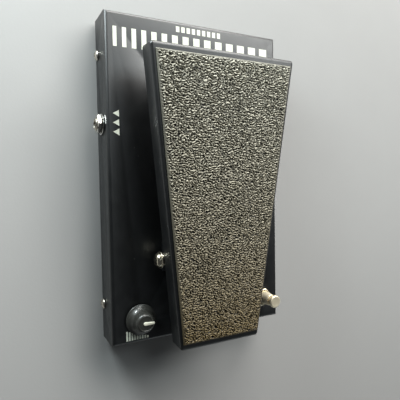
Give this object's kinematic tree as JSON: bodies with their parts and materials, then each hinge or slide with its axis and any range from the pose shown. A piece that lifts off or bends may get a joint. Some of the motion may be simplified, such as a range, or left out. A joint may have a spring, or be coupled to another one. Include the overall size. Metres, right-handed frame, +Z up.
{
  "type": "volume pedal",
  "caption": "Low rectangular steel foot pedal with a tapered rocking treadle covered in textured rubber, a knob, a foot switch and signal jacks.",
  "frame": {"origin": "middle of the footprint on the surface that the feet stand on", "axes": "+Z up, +Y from the heel end to the toe end, +X to the right of the player (input side)"},
  "size_m": [0.1632, 0.2504, 0.078],
  "materials": {
    "black_paint": "satin black powder coat",
    "zinc_steel": "zinc plated",
    "chrome": "polished",
    "nickel": "nickel plated",
    "tread_rubber": "coarse pebbled",
    "black_rubber": "matte",
    "black_plastic": "moulded",
    "gloss_black": "glossy",
    "nylon": "natural",
    "board_laminate": "lacquered laminate",
    "battery_case": "printed can, plain",
    "lamp_lens": "tinted lens",
    "wire_cover": "soft cover"
  },
  "bodies": {
    "chassis": {"top_cover": "black_paint", "bottom_plate": "zinc_steel", "cover_screw_left_toe": "nickel", "cover_screw_left_heel": "nickel", "cover_screw_right_toe": "nickel", "cover_screw_right_heel": "nickel", "rubber_foot_left_toe": "black_rubber", "rubber_foot_left_heel": "black_rubber", "rubber_foot_right_toe": "black_rubber", "rubber_foot_right_heel": "black_rubber", "battery_door": "black_paint", "battery_door_screw": "nickel", "battery": "battery_case", "battery_snap": "black_plastic", "battery_strap": "zinc_steel", "circuit_board": "board_laminate", "board_post_left_heel": "nylon", "board_post_left_toe": "nylon", "board_post_right_heel": "nylon", "board_post_right_toe": "nylon", "sensor_housing": "black_plastic", "sensor_led": "lamp_lens", "photocell": "board_laminate", "output_jack": "nickel", "output_jack_washer": "chrome", "output_jack_nut": "chrome", "input_jack": "nickel", "input_jack_washer": "chrome", "input_jack_nut": "chrome", "power_jack": "black_plastic", "power_jack_nut": "nickel", "level_pot_body": "zinc_steel", "level_pot_nut": "nickel", "footswitch_body": "nickel", "footswitch_lower_nut": "nickel", "footswitch_upper_nut": "chrome", "pivot_bracket": "black_paint", "pivot_rivet_1": "zinc_steel", "pivot_rivet_2": "zinc_steel", "pivot_rivet_3": "zinc_steel", "pivot_rivet_4": "zinc_steel", "pivot_axle": "zinc_steel", "axle_cap_left": "chrome", "axle_cap_right": "chrome", "toe_bumper_left": "black_rubber", "toe_bumper_right": "black_rubber", "heel_bumper": "black_rubber", "output_lead": "wire_cover", "input_lead": "wire_cover", "battery_lead": "wire_cover"},
    "treadle": {"treadle": "black_paint", "tread_pad": "tread_rubber", "treadle_bracket": "black_paint", "pivot_bushing_left": "nylon", "pivot_bushing_right": "nylon", "shutter_vane": "black_paint"},
    "knob": {"level_knob": "gloss_black", "level_pot_shaft": "zinc_steel"},
    "button": {"footswitch_plunger": "chrome"}
  },
  "joints": [
    {"name": "treadle_hinge", "type": "hinge", "parent": "chassis", "child": "treadle", "pos_m": [0, -0.0595, 0.0435], "axis": [1, 0, 0], "range_deg": [-10, 8]},
    {"name": "knob_turn", "type": "hinge", "parent": "chassis", "child": "knob", "pos_m": [-0.0542, -0.1058, 0.03], "axis": [0, 0, 1], "range_deg": [-150, 150]},
    {"name": "button_press", "type": "slide", "parent": "chassis", "child": "button", "axis": [0, 0, -1], "range_m": [0, 0.0025], "stiffness_N_per_m": 1500, "springref_m": -0.002}
  ]
}
